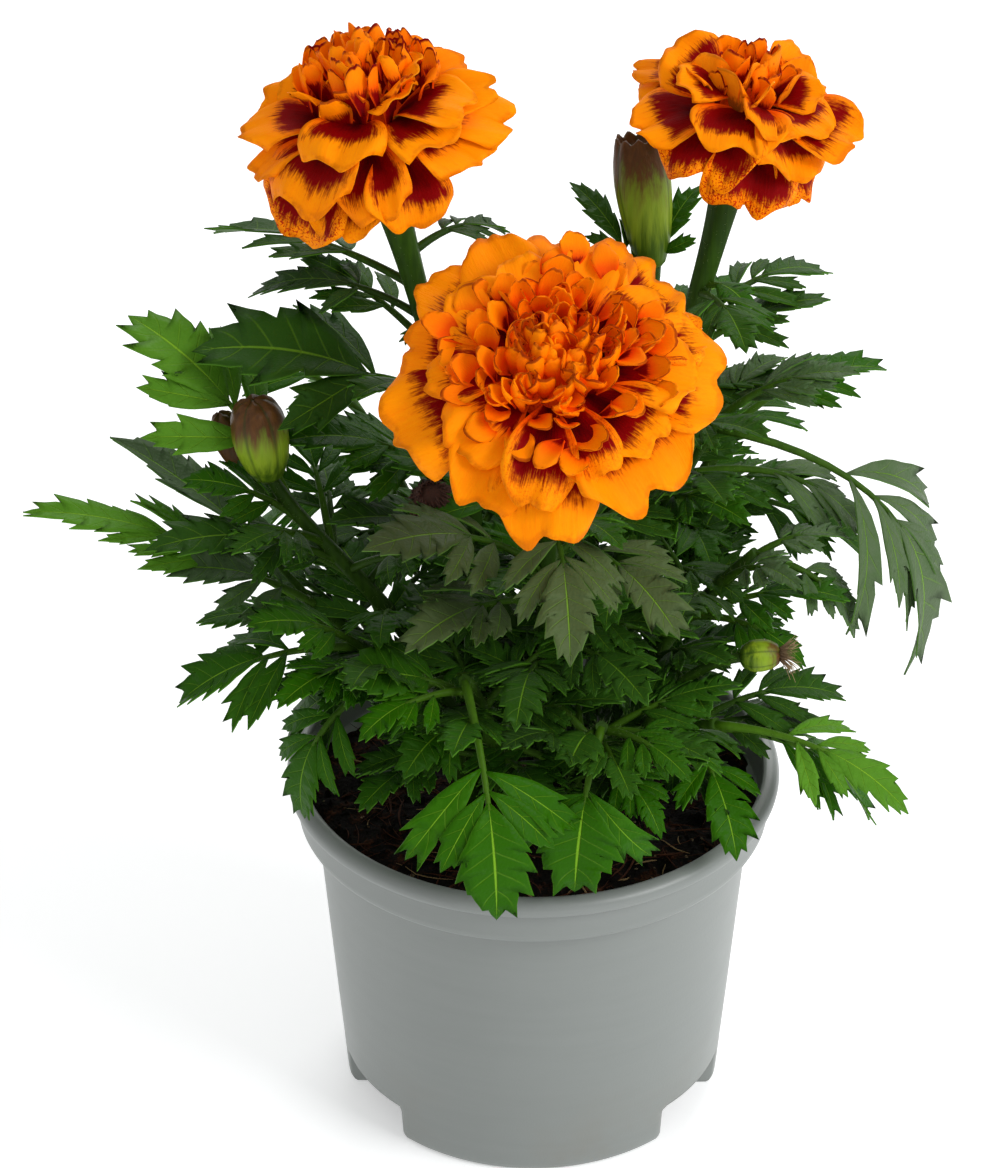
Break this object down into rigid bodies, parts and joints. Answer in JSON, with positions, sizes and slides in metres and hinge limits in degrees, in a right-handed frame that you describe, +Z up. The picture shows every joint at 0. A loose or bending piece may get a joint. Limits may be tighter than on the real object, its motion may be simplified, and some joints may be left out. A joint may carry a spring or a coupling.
{
  "type": "potted french marigold",
  "caption": "Flowering french marigold with leafy branched stems, ruffled double blooms and buds, growing in a round plastic nursery pot of soil.",
  "frame": {"origin": "centre of the pot's base, on the surface that it stands on", "axes": "+Z up along the pot's axis, -Y towards the front that the picture shows, +X to the right"},
  "size_m": [0.191, 0.1515, 0.2452],
  "materials": {
    "pot": "satin",
    "soil": "matte",
    "foliage": "satin",
    "petals": "satin",
    "dry_florets": "matte"
  },
  "bodies": {
    "root": {"pot": "pot", "soil": "soil", "left_bloom_stem": "foliage", "right_bloom_stem": "foliage", "front_bloom_stem": "foliage", "faded_bloom_stem": "foliage", "left_bud_stem": "foliage", "left_shoot": "foliage", "left_low_shoot": "foliage", "front_left_shoot": "foliage", "front_right_shoot": "foliage", "right_low_shoot": "foliage", "right_shoot": "foliage", "right_high_shoot": "foliage", "back_left_shoot": "foliage", "back_shoot": "foliage", "back_right_shoot": "foliage", "left_bloom_petals": "petals", "right_bloom_petals": "petals", "front_bloom_petals": "petals", "spent_head": "dry_florets", "dry_tuft": "dry_florets"}
  },
  "joints": []
}
